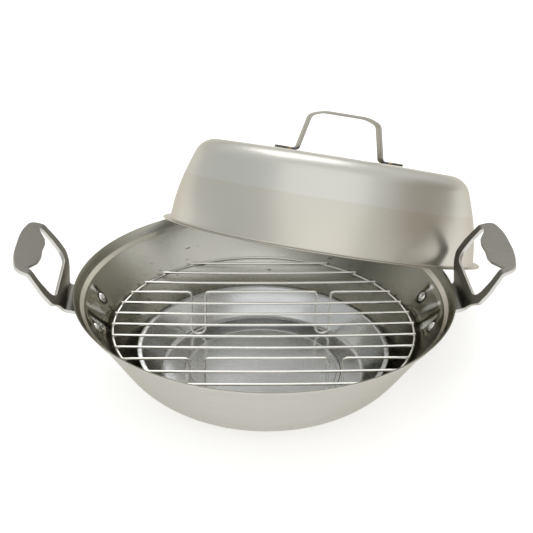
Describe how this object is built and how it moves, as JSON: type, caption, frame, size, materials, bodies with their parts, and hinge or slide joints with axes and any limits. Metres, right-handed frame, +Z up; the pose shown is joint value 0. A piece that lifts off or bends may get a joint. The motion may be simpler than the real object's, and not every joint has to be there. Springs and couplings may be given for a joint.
{
  "type": "stovetop smoker",
  "caption": "Round steel stovetop smoker: a shallow bowl with side handles, a drip pan, a legged wire rack, and a deep lid with a strap handle leaning on the back of the rim.",
  "frame": {"origin": "centre of the bowl's flat base, on the surface it stands on", "axes": "+Z up along the bowl's axis, +X to the right through the side handles and along the rack's wires, +Y to the back, where the lid leans"},
  "size_m": [0.3887, 0.4204, 0.1675],
  "materials": {
    "bowl_steel": "satin stainless steel, spun",
    "handle_steel": "tumbled stainless sheet",
    "rivet_steel": "bright",
    "pan_steel": "brushed",
    "wire_steel": "bright drawn wire",
    "lid_steel": "satin stainless steel, spun",
    "strap_steel": "polished strip"
  },
  "bodies": {
    "bowl": {"bowl": "bowl_steel", "handle_left": "handle_steel", "handle_right": "handle_steel", "rivet_left_front": "rivet_steel", "rivet_left_back": "rivet_steel", "rivet_right_front": "rivet_steel", "rivet_right_back": "rivet_steel"},
    "drip_pan": {"drip_pan": "pan_steel"},
    "rack": {"rack_ring": "wire_steel", "rack_wire_01": "wire_steel", "rack_wire_02": "wire_steel", "rack_wire_03": "wire_steel", "rack_leg_wire_04": "wire_steel", "rack_wire_05": "wire_steel", "rack_wire_06": "wire_steel", "rack_wire_07": "wire_steel", "rack_wire_08": "wire_steel", "rack_wire_09": "wire_steel", "rack_leg_wire_10": "wire_steel", "rack_wire_11": "wire_steel", "rack_wire_12": "wire_steel", "rack_wire_13": "wire_steel"},
    "lid": {"lid_shell": "lid_steel", "lid_handle": "strap_steel"}
  },
  "joints": [
    {"name": "drip_pan_lift", "type": "slide", "parent": "bowl", "child": "drip_pan", "axis": [0, 0, 1], "range_m": [0, 0.014]},
    {"name": "rack_lift", "type": "slide", "parent": "drip_pan", "child": "rack", "axis": [0, 0, 1], "range_m": [0, 0.025]},
    {"name": "lid_lift", "type": "slide", "parent": "bowl", "child": "lid", "axis": [-0.15, 0.8, 0.581], "range_m": [0, 0.2]}
  ]
}
